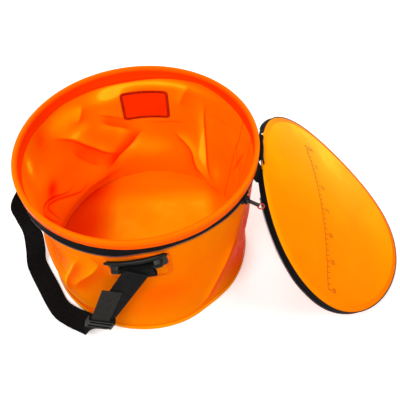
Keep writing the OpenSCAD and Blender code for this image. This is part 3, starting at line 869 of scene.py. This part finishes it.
def about_fold(x, y, z):
    """Turns a point from beside the x axis round the bucket to the cloth fold."""
    a = math.radians(FOLD_AZ)
    turn = (x * math.cos(a) - y * math.sin(a), x * math.sin(a) + y * math.cos(a), z)
    return np.stack(np.broadcast_arrays(*turn), axis=-1)


def lid_place(p, lean=LEAN, floor=None, roll=ROLL):
    """From the lid's own frame to the scene's, and no lower than floor if it is given."""
    u, v, w = np.moveaxis(np.asarray(p, float), -1, 0)
    v, w = v * math.cos(roll) - w * math.sin(roll), v * math.sin(roll) + w * math.cos(roll)
    x = FOLD_R + u * math.cos(lean) + w * math.sin(lean)
    z = FOLD_Z - u * math.sin(lean) + w * math.cos(lean)
    return about_fold(x, v, z if floor is None else np.maximum(z, floor))


def lid_bend(u, v):
    """How the open lid sags, fitted to its outline and its ruler in the photograph: its
    sides droop, and its far half rises to the edge that stands on the floor."""
    side, far = v / LID_HALF, np.maximum(u - LID_C, 0) / LID_HALF
    return -SIDES_DROOP * side ** 2 + SIDES_CURL * side ** 4 + FAR_RISE * far ** 2


def lid_round(radius, az, w):
    """Points of the bent lid from radius and azimuth about its centre; az in degrees."""
    a = np.radians(az)
    radius, a, w = np.broadcast_arrays(np.asarray(radius, float), a, w)
    u, v = LID_C + radius * np.cos(a), radius * np.sin(a)
    return np.stack([u, v, w + lid_bend(u, v)], axis=-1)


LID_NORMAL = lid_place((0, 0, 1), CAD_LEAN, roll=0) - lid_place((0, 0, 0), CAD_LEAN, roll=0)
LID_ANCHOR = lid_place((LID_C, 0, LID_W - 0.8), CAD_LEAN, roll=0) * MM


def flatten_lid(obj):
    """Gives a piece of the lid a mesh of its own."""
    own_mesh(obj)
    return obj


def lid_piece(build, name, mat, slot, replaces=(), flat_shaded=False):
    """A finished piece that rides on the lid."""
    return flatten_lid(build.piece(name, mat, "lid", slot, replaces, flat_shaded))


@np.vectorize
def lid_soft(x, y):
    """How uneven the lid's sheet is at a place about its centre, in mm."""
    uneven = 0.9 * ripple(x, y, 1, 0.012) + 0.35 * ripple(x, y, 8, 0.035)
    return uneven * float(smooth(190 - math.hypot(x, y), 0, 30))


def make_lid():
    radii = np.linspace(CENTRE, LID_PANEL_R, 64)[:, None]
    az = ring(260)[None, :]
    u, v = radii * np.cos(np.radians(az)), radii * np.sin(np.radians(az))
    face = lid_place(lid_round(radii, az, LID_W - 0.7 + lid_soft(u, v)))
    # Painted light: the sheet is yellower towards +v and redder towards -v, as light falls across the
    # open lid
    tone = 0.8 + 0.14 * np.clip(v / 170, -1, 1)
    obj = lid_piece(Build().sheet(face, 1.2, wrap=True, tone=tone), "lid_panel", "lid", "lid_pvc",
                    ("lid_sheet",))


def make_lid_band():
    """The double band round the lid's edge, and the spring hoop inside it."""
    turn = ring(420)
    wave = ring_ripple(turn, 20, 3.3)
    rows = [lid_place(lid_round(r, turn, LID_W + w + 0.12 * wave)) for r, w in LID_BAND]
    # Painted shade: the band is redder on its far side from the fold, where the lid's edge curves
    # down out of the light
    tone = 0.68 - 0.12 * np.cos(np.radians(turn))
    lid_piece(Build().grid(np.array(rows), True, True, tone=tone), "lid_binding", "band", "lid_pvc",
              ("lid_band",))
    hoop = lid_place(lid_round(196.5, turn[::2], LID_W - 2.1))
    lid_piece(Build().tube(hoop, 1.2, closed=True), "lid_spring_hoop", "steel", "hoop_steel",
              ("lid_hoop",))


def make_lid_zip():
    """The lid's zip tape, sewn to its edge and hanging from it, and the teeth at its foot."""
    turn = np.linspace(-170, 164, 400)
    # It stands out at the back, by the fold, where the photograph shows its black edge
    proud = PROUD * plateau(turn, *PROUD_AZ)
    lean_in = 0.6 * (2.0 + 2.0 * ring_ripple(turn, 5, 9.7) - proud)
    rows = [lid_place(lid_round(LID_R - lean_in * drop / LID_TAPE, turn, LID_W - 0.4 - drop),
                      floor=1.2) for drop in (0, 0.8, 3, 5, 7, 9, 11.2, LID_TAPE)]
    lid_piece(Build().sheet(np.array(rows), 1.1), "lid_zip_cloth", "tape", "zip_tape",
              ("lid_zip_tape",))
    row = Build()
    deep = LID_W - LID_TAPE - 0.9
    for k in range(LID_TEETH):
        az = -LID_SWEEP / 2 + (k + 0.5) * LID_SWEEP / LID_TEETH
        r = np.interp(az, turn, LID_R - lean_in)
        at, ahead = lid_place(lid_round(r, [az, az + 0.1], deep), floor=2.6)
        below = lid_place(lid_round(r - 0.2, az, deep - 1), floor=2.0)
        outside = lid_place(lid_round(r + 1, az, deep), floor=2.6)
        tooth(row, at, unit(ahead - at), unit(outside - at), unit(below - at + 1e-6), LID_TOOTH)
    lid_piece(row, "lid_teeth", "teeth", "zip_teeth", ("lid_zip_teeth",), True)


# Ruler printed on the lid's inner face
RULER_START, RULER_END = np.array([151.3, 121.5]), np.array([201.5, -174.3])  # as (u, v)
RULER_LINE, WORD_SIZE, WORD_OFF = 1.2, 11, 17.5
CM = 10.0
SHORT_MARK, LONG_MARK, MARK_HALF = 8, 11, 0.55


def on_face(s, t, lift=0.25):
    """Ruler coordinates (along it, across it, in mm) to the lid's inner face."""
    along = (RULER_END - RULER_START) / np.linalg.norm(RULER_END - RULER_START)
    across = np.array([-along[1], along[0]])
    p = RULER_START + np.multiply.outer(np.asarray(s, float), along) + np.multiply.outer(
        np.asarray(t, float), across)
    u, v = p[..., 0], p[..., 1]
    x = u - LID_C
    az = np.degrees(np.arctan2(v, x))
    return lid_place(lid_round(np.hypot(x, v), az, LID_W - 0.1 + lid_soft(x, v) + lift))


def print_line(marks, s, t):
    """Prints a line from (s[0], t[0]) to (s[1], t[1]), longer along the ruler or across it."""
    length, width = abs(s[1] - s[0]), abs(t[1] - t[0])
    steps = np.linspace(0, 1, max(2, int(max(length, width) / 2.5)))
    if length > width:
        run = s[0] + (s[1] - s[0]) * steps
        rows = [on_face(run, edge) for edge in t]
    else:
        run = t[0] + (t[1] - t[0]) * steps
        rows = [on_face(edge, run) for edge in s]
    marks.sheet(np.array(rows), 0.16)


def print_words(words, at):
    """Raised words beside the ruler, with their feet to its line."""
    curve = bpy.data.curves.new("ruler_word", "FONT")
    curve.body = words
    curve.size = WORD_SIZE
    curve.align_x, curve.align_y = "CENTER", "CENTER"
    shape = add_object("ruler_word", curve)
    mesh = bpy.data.meshes.new_from_object(shape)
    bpy.data.objects.remove(shape)
    work = bmesh.new()
    work.from_mesh(mesh)
    bmesh.ops.subdivide_edges(work, edges=work.edges, cuts=1)
    solid = bmesh.ops.extrude_face_region(work, geom=list(work.faces))
    low = {v for v in solid["geom"] if isinstance(v, bmesh.types.BMVert)}
    for v in work.verts:
        place = on_face(at - v.co.y, WORD_OFF + v.co.x, 0.1 if v in low else 0.3)
        v.co = Vector(place) * MM
    bmesh.ops.recalc_face_normals(work, faces=work.faces)
    work.to_mesh(mesh)
    work.free()
    mesh.materials.clear()
    mesh.materials.append(MAT["print"])
    obj = add_object("ruler_" + words.lower(), mesh)
    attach(obj, "lid")
    flatten_lid(obj)


def make_ruler():
    """The printed ruler: a line, a mark at each centimetre, longer at each fifth, and words."""
    marks = Build()
    half = RULER_LINE / 2
    print_line(marks, (0, 30 * CM), (-half, half))
    for k in range(31):
        print_line(marks, (k * CM - MARK_HALF, k * CM + MARK_HALF),
                   (half, SHORT_MARK if k % 5 else LONG_MARK))
    lid_piece(marks, "ruler_marks", "print", "lid_pvc")
    print_words("CM", 0.4 * CM)
    for k in range(5, 31, 5):
        print_words(str(k), k * CM)


# Cloth fold of the lid: its section as (radius, height), from the bucket to the lid
HINGE_PATH = [(207.3, 270.5), (207.35, 275), (207.5, 280), (207.9, 284.5), (209.0, 288.2),
              (210.8, 289.6), (212.6, 288.4), (213.4, 285.6), (213.2, 282.6), (212.4, 280.2),
              (211.6, 278.4)]
HINGE_HALF, HINGE_DROOP = 30, 900
RIM_BEND, LID_BEND = 208, 210  # radii to which the cloth bends at the rim and at the lid


def make_hinge():
    """Black cloth from the bucket's tape, over the fold line, to the lid's near edge."""
    knots = np.arange(len(HINGE_PATH))
    at = np.linspace(0, knots[-1], 44)
    radii, heights = (np.interp(at, knots, column) for column in zip(*HINGE_PATH))
    v = np.linspace(-HINGE_HALF, HINGE_HALF, 44)
    rows = []
    for i, (r, z) in enumerate(zip(radii, heights)):
        # The cloth goes over from the bend of the rim to the opposite bend of the lid
        share = smooth(at[i], 3, 9)
        sag = 0.6 * np.cos(v / HINGE_HALF * math.pi * 1.5) * math.sin(math.pi * i / 43)
        x = r * np.cos(v / RIM_BEND) * (1 - share) + (r + v * v / LID_BEND / 2) * share + sag
        y = r * np.sin(v / RIM_BEND) * (1 - share) + v * share
        rows.append(about_fold(x, y, z + 0.4 * sag - share * v * v / HINGE_DROOP))
    obj = Build().sheet(np.array(rows), 0.6).piece(
        "hinge_cloth", "tape", None, "zip_tape", ("hinge_tape", "lid_hinge_tab"))
    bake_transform(obj)


def make_gusset():
    """The end of the zip beside the fold: both tapes gathered together, black and creased."""
    t = np.linspace(0, 1, 34)
    bucket_edge = polar(206.6, FOLD_AZ - 8.4 - 9 * t, 285 - 7 * t)
    lid_edge = lid_place(lid_round(200.9, -171.5 + 7.5 * t, LID_W - 1 - 5 * t))
    rows = []
    for share in np.linspace(0, 1, 30):
        bow = math.sin(math.pi * share)
        crease = np.array([ripple(4 * share, 5 * k, 1.7, 1.6) for k in t])
        sag = bow * np.stack([np.zeros(len(t)), -t, 1.6 * crease - (1 + 3 * t)], axis=1)
        rows.append(bucket_edge * (1 - share) + lid_edge * share + sag)
    obj = Build().sheet(np.array(rows), 0.7).piece("zip_end_cloth", "tape", None, "zip_tape")
    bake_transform(obj)


# Brackets, each drawn at the front: sections as (radius, height)
BRACKET_ARC = 205  # radius of the arc along which a bracket's width is measured
BAR_HALF, BAR_R, BAR_AT = 50, 4.05, (206.7, 248)
PLATE_Z, PLATE_HALF, PLATE_CORNER = (219, 249), 46, 7
PLATE_R, PLATE_THICK = 203.7, 2.0
EAR_AT, EAR_R = 32, 6.3  # ears to both sides of the middle, round about the pin
EAR_FOOT, EAR_TOP = [(203.4, 227.5), (207.5, 228.2)], [(207.4, 248.6), (203.4, 250), (203.4, 239)]
# An ear's edges are rounded: side, distance from its middle and size of the section there
EAR_SECTIONS = [(side, off, size) for side, run in ((-1, 1), (1, -1))
                for off, size in [(6, 0.84), (5.6, 0.93), (4.8, 0.98), (3.6, 1)][::run]]
PIN_HALF, PIN_THICK = 38.4, 3.0
LOOP_R, LOOP_DROP, LOOP_HALF = 4.1, 20, 25  # webbing round the pin, down from it, half width

# Strap: points of its middle line in mm, and the direction across it at each of them
STRAP_WIDTH = 40
LEG_LEAN = math.atan2(89.5, 170)  # of the front leg, in radians
TAIL_FOOT = np.array([-87.06, -221.3, 72.8])  # on the leg, where the tail leaves the adjuster
TAIL_LENGTH, TAIL_HALF, TAIL_RIB = 112, 16, 4.2
TAIL_BACK, TAIL_START = 3, 9  # from the foot to the tail's middle line and along it
TAIL_OFF = math.radians(7)  # the tail is steeper than the leg by this
ROUTE = np.array([
    [0, 219, 238], [-30, 219, 229], [-68, 216, 217], [-112, 206, 203], [-152, 180, 188],
    [-190, 134, 172], [-222, 88, 155], [-246, 44, 137], [-256, 12, 118], [-247, -8, 98],
    [-240, -20, 74], [-243, -34, 38], [-248, -45, 10], [-241, -62, 3], [-216, -104, 2.5],
    [-186, -152, 3], [-160, -174, 7], [-134, -190, 14], [-115, -203, 24], [-107, -213, 35],
    [-100, -219, 48], [-89.5, -219, 68], [-50, -219, 143], [0, -219, 238]], float)
ACROSS = np.array([
    [-0.29, 0, 0.957], [-0.29, 0, 0.957], [-0.2, -0.12, 0.97], [-0.18, -0.14, 0.97],
    [-0.15, -0.16, 0.97], [-0.1, -0.22, 0.97], [-0.1, -0.3, 0.95], [-0.25, -0.35, 0.9],
    [-0.75, -0.2, 0.63], [-0.94, 0.05, 0.3], [-0.95, 0.08, 0.06], [-0.96, -0.05, 0],
    [-0.96, -0.22, -0.04], [-0.93, -0.37, 0], [-0.87, -0.5, 0], [-0.6, -0.8, 0],
    [-0.45, -0.89, -0.05], [-0.4, -0.9, -0.15], [-0.5, -0.84, -0.1], [-0.75, -0.6, 0.25],
    [-0.885, -0.02, 0.466], [-0.885, 0, 0.466], [-0.885, 0, 0.466], [-0.885, 0, 0.466]])


def band(centre, across, width, thick, ribs, rib):
    """A woven band along a line: its ribs run along it and are real relief."""
    normal = unit(np.cross(unit(np.gradient(centre, axis=0)), across))[:, None]
    share = np.linspace(-0.5, 0.5, ribs * 4 + 1)
    lift = thick / 2 - rib + rib * np.abs(np.sin(share * math.pi * ribs))
    lift = lift * (0.45 + 0.55 * smooth(0.5 - np.abs(share), 0, 0.02))
    middle = centre[:, None] + across[:, None] * (share * width)[:, None]
    upper, lower = ((middle + normal * (side * lift)[:, None]).transpose(1, 0, 2)
                    for side in (1, -1))
    return Build().grid(np.concatenate([upper, lower[::-1]]), True, False, True)


def make_strap():
    centre = curve_through(ROUTE, 12)
    across = unit(curve_through(ACROSS, 12))
    obj = band(centre, across, STRAP_WIDTH, 2.0, 17, 0.35).piece(
        "strap_band", "webbing", None, "webbing", ("strap_webbing",))
    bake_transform(obj)


def make_loops():
    """Webbing wrapped round each pin and sewn to itself below."""
    drop = np.linspace(0, -LOOP_DROP, 9)[1:]
    path = [(-LOOP_R, z) for z in drop[::-1]] + arc((0, 0), LOOP_R, 180, 0, 17)
    path += [(LOOP_R, z) for z in drop] + arc((0, -LOOP_DROP), LOOP_R, 0, -180, 17)[1:-1]
    path = np.array([(0, out - PIN_R, up + PIN_Z) for out, up in path])
    normal = unit(np.cross(np.roll(path, -1, 0) - np.roll(path, 1, 0), (1.0, 0, 0)))[:, None]
    x = np.linspace(-LOOP_HALF, LOOP_HALF, 101)
    rib = 0.22 * np.abs(np.sin(np.linspace(0, math.pi * 20, 101)))
    middle = path[:, None] + x[:, None] * np.array([1, 0, 0])
    outer, inner = middle + normal * (0.75 + rib)[:, None], middle - normal * 0.75
    skin = np.concatenate([outer, inner[:, ::-1]], axis=1)
    for place, turn, lean in BRACKETS:
        Build().grid(place_bracket(skin, turn, lean), True, True).piece(
            place + "_webbing_loop", "webbing", "bucket", "webbing", (place + "_loop",))


def on_bracket(x, r, z):
    """A point of a bracket: x along its arc, at radius r and height z."""
    x, r, z = np.broadcast_arrays(np.asarray(x, float), r, z)
    return np.stack([r * np.sin(x / BRACKET_ARC), -r * np.cos(x / BRACKET_ARC), z], axis=-1)


def make_brackets():
    """Moulded brackets: a tapered bar over a slim plate, and two rounded ears with the pin."""
    x = np.linspace(-BAR_HALF, BAR_HALF, 61)
    taper = 1 - 0.42 * smooth(np.abs(x), 34, 49)
    thick = BAR_R * taper * np.sqrt(np.clip((BAR_HALF + 0.6 - np.abs(x)) / 2.2, 0.06, 1))
    bar = on_bracket(x, *BAR_AT)
    plate = []
    for z in np.linspace(*PLATE_Z, 25):
        reach = round_reach(PLATE_Z[0] + PLATE_CORNER - z, PLATE_HALF, PLATE_CORNER)
        plate.append(on_bracket(np.linspace(-reach, reach, 41), PLATE_R, z))
    ear = np.array(EAR_FOOT + arc((PIN_R, PIN_Z), EAR_R, -95, 70, 13) + EAR_TOP)
    middle = ear.mean(axis=0)
    ears = [np.array([on_bracket(centre + side * off, *(middle + (ear - middle) * size).T)
                      for side, off, size in EAR_SECTIONS]).transpose(1, 0, 2)
            for centre in (-EAR_AT, EAR_AT)]
    pin = np.stack([np.linspace(-PIN_HALF, PIN_HALF, 9), np.full(9, -PIN_R), np.full(9, PIN_Z)],
                   axis=1)
    for place, turn, lean in BRACKETS:
        build = Build().tube(place_bracket(bar, turn, lean), thick, sides=20)
        build.sheet(place_bracket(plate, turn, lean), PLATE_THICK)
        for skin in ears:
            build.grid(place_bracket(skin, turn, lean), True, False, True)
        build.piece(place + "_bracket_body", "bracket", "bucket", "bracket_plastic",
                    (place + "_bracket",))
        Build().tube(place_bracket(pin, turn, lean), PIN_THICK, sides=20).piece(
            place + "_bracket_pin", "pin", "bucket", "pin_steel", (place + "_pin",))


def place_bracket(p, turn, lean):
    """Leans a bracket's points out about the pin, then turns them round the bucket."""
    a, b = math.radians(-lean), math.radians(turn)
    x, y, z = np.moveaxis(np.asarray(p, float), -1, 0)
    z = z - PIN_Z
    x, z = x * math.cos(a) + z * math.sin(a), -x * math.sin(a) + z * math.cos(a)
    x, y = x * math.cos(b) - y * math.sin(b), x * math.sin(b) + y * math.cos(b)
    return np.stack([x, y, z + PIN_Z], axis=-1)


def lean_axes(lean):
    """Directions up a strap that leans sideways in the front plane, and across it."""
    return (np.array([math.sin(lean), 0, math.cos(lean)]),
            np.array([math.cos(lean), 0, -math.sin(lean)]))


def make_tail():
    """The ribbed free end of the strap, which lies over its front leg."""
    up_leg, across_leg = lean_axes(LEG_LEAN)
    up, across = lean_axes(LEG_LEAN - TAIL_OFF)
    foot = TAIL_FOOT - TAIL_BACK * across_leg + TAIL_START * up_leg
    s = np.linspace(0, TAIL_LENGTH, 280)
    ribs = np.abs(np.sin((s + TAIL_START) * math.pi / TAIL_RIB))
    centre = foot + s[:, None] * up
    x = np.linspace(-TAIL_HALF, TAIL_HALF, 21)
    edge = smooth(TAIL_HALF - np.abs(x), 0, 1.4)
    middle = centre[:, None] + x[:, None] * across
    out = np.array([0, -1.0, 0])
    front = middle + out * ((0.55 + 0.8 * ribs)[:, None] * (0.5 + 0.5 * edge))[..., None]
    back = middle - out * (0.95 * (0.6 + 0.4 * edge))[:, None]
    skin = np.concatenate([front.transpose(1, 0, 2), back.transpose(1, 0, 2)[::-1]])
    # Painted light and shade: the rib crests are lighter and the hollows between them darker
    Build().grid(skin, True, False, True, tone=ribs).piece(
        "strap_free_end", "ribbed", "adjuster", "webbing", ("strap_tail",))


def dress_nodes():
    """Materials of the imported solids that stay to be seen."""
    dress = {"rim_hoop": "steel", "pull_loop": "pull", "adjuster": "adjuster"}
    dress.update((node, "zipmetal") for node in ("near_zip_stop", "far_zip_stop", "zip_slider",
                                                 "zip_pull"))
    for node, mat in dress.items():
        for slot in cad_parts[node].material_slots:
            slot.link = "OBJECT"
            slot.material = MAT[mat]


# Stage and light, in metres
FLOOR_R, FLOOR_WHITE, FLOOR_GLOW = 1.6, 0.82, 0.36
WORLD_LIGHT = 0.42
# Lamps: name, place, size, power in watts and the place they shine at
LAMPS = (("key", (-0.6, -1.1, 1.9), 0.9, 28, (0.1, 0, 0.1)),
         ("side", (1.6, -0.9, 1.4), 0.6, 11, (0.15, 0, 0.1)),
         ("top", (0.1, 1.3, 1.9), 0.8, 24, (0.1, 0, 0.1)))


def split_rays(tree, lighting, seen, output):
    """One shader lights surfaces, the other is what is seen directly, mirrored or through."""
    path = tree.nodes.new("ShaderNodeLightPath")
    direct = path.outputs["Is Camera Ray"]
    for ray in ("Is Glossy Ray", "Is Transmission Ray"):
        either = tree.nodes.new("ShaderNodeMath")
        either.operation = "MAXIMUM"
        tree.links.new(direct, either.inputs[0])
        tree.links.new(path.outputs[ray], either.inputs[1])
        direct = either.outputs[0]
    mix = tree.nodes.new("ShaderNodeMixShader")
    for slot, source in enumerate((direct, lighting, seen)):
        tree.links.new(source, mix.inputs[slot])
    tree.links.new(mix.outputs[0], find_node(tree, output).inputs["Surface"])


def make_floor():
    """A round floor, no wider than the lamps keep white."""
    mesh = bpy.data.meshes.new("floor")
    edge = [(x, y, 0) for x, y in arc((0, 0), FLOOR_R, 0, 360, 97)[:-1]]
    mesh.from_pydata(edge, [], [tuple(range(len(edge)))])
    floor = add_object("floor", mesh)
    floor.location.z = -0.0004
    s = Shader("floor_white", 0.6, Base_Color=(*[FLOOR_WHITE] * 3, 1), Specular_IOR_Level=0.1)
    glow = s.node("Emission", Strength=FLOOR_GLOW)
    lit = s.node("AddShader")
    s.link(s.bsdf.outputs[0], lit.inputs[0])
    s.link(glow.outputs[0], lit.inputs[1])
    split_rays(s.tree, s.bsdf.outputs[0], lit.outputs[0], "OUTPUT_MATERIAL")
    mesh.materials.append(s.mat)


def make_world():
    """Dim white light from all around, behind a plain white background."""
    world = bpy.data.worlds.new("studio")
    bpy.context.scene.world = world
    world.use_nodes = True
    tree = world.node_tree
    light, white = find_node(tree, "BACKGROUND"), tree.nodes.new("ShaderNodeBackground")
    for node, strength in ((light, WORLD_LIGHT), (white, 1.0)):
        node.inputs["Color"].default_value = (1, 1, 1, 1)
        node.inputs["Strength"].default_value = strength
    split_rays(tree, light.outputs[0], white.outputs[0], "OUTPUT_WORLD")


def make_lamps():
    for name, at, size, power, aim in LAMPS:
        data = bpy.data.lights.new(name, "AREA")
        data.shape, data.size, data.energy = "DISK", size, power
        lamp = add_object(name, data)
        lamp.location = at
        lamp.rotation_euler = (Vector(aim) - Vector(at)).to_track_quat("-Z", "Y").to_euler()


make_camera()
make_strap()
make_loops()
make_brackets()
make_tail()
make_wall()
make_seam()
make_rim()
make_bucket_zip()
make_bottom()
make_welt()
make_patches()
make_lid()
make_lid_band()
make_lid_zip()
make_ruler()
make_hinge()
make_gusset()
dress_nodes()
make_floor()
make_world()
make_lamps()
bpy.context.scene.view_settings.view_transform = "Standard"
